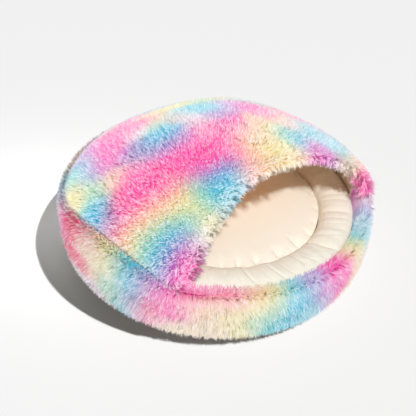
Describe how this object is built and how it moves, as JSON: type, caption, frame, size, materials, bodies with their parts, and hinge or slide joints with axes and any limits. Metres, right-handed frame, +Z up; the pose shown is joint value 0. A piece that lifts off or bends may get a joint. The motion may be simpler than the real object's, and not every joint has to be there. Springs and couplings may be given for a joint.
{
  "type": "plush pet cave bed",
  "caption": "Round plush pet bed: a fur tray with a padded ring and a floor cushion inside, under a lined half-dome hood with an arched opening to crawl in.",
  "frame": {"origin": "middle of the flat bottom, on the surface that the bed stands on", "axes": "+Z up, the arched opening toward -Y"},
  "size_m": [0.5, 0.5, 0.225],
  "materials": {
    "tray_fur": "long pile, tie-dyed",
    "ring_cloth": "short soft nap",
    "cushion_cloth": "short soft nap",
    "hood_fur": "long pile, tie-dyed",
    "lining_cloth": "short soft nap"
  },
  "bodies": {
    "root": {"fur_tray": "tray_fur", "padded_ring": "ring_cloth", "floor_cushion": "cushion_cloth", "fur_hood": "hood_fur", "hood_lining": "lining_cloth"}
  },
  "joints": []
}
